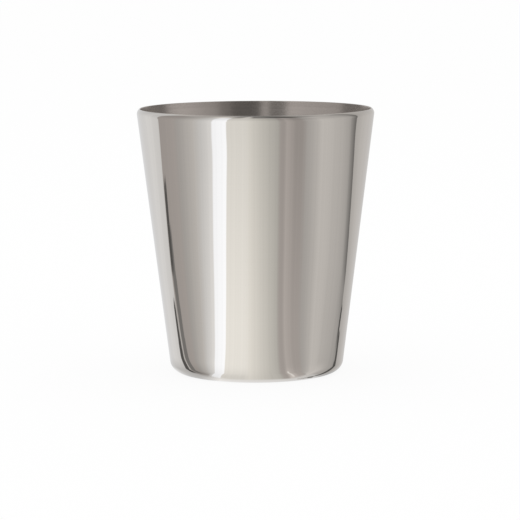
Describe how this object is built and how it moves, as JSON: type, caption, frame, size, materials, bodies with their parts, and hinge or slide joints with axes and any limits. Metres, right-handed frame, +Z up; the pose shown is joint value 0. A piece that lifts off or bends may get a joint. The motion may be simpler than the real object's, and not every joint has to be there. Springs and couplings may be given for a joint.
{
  "type": "tumbler cup",
  "caption": "Tapered double-wall steel tumbler: mirror-polished outer shell, satin liner, rounded lip and a recessed base inside a flat foot ring. Holds a hot or cold drink.",
  "frame": {"origin": "on the cup's axis, in the plane that the foot ring stands on", "axes": "+Z up along the cup's axis; the cup is round, so X and Y are any pair square to it"},
  "size_m": [0.0894, 0.0894, 0.1],
  "materials": {
    "polished_steel": "mirror-polished stainless steel",
    "satin_steel": "satin stainless steel, fine turned lines",
    "lip_steel": "polished weld, rounded",
    "spun_steel": "spun-brushed stainless steel",
    "weld_bead": "ground weld bead",
    "solder": "dull solder",
    "cover_steel": "brushed stainless steel",
    "getter": "sintered metal powder",
    "cap_steel": "plain pressed steel",
    "copper_foil": "bright copper foil, slightly creased"
  },
  "bodies": {
    "root": {"outer_shell": "polished_steel", "inner_liner": "satin_steel", "lip_weld": "lip_steel", "base_plate": "spun_steel", "base_weld": "weld_bead", "port_seal": "solder", "port_cover": "cover_steel", "getter_pellet": "getter", "getter_cap": "cap_steel", "heat_shield_foil": "copper_foil"}
  },
  "joints": []
}
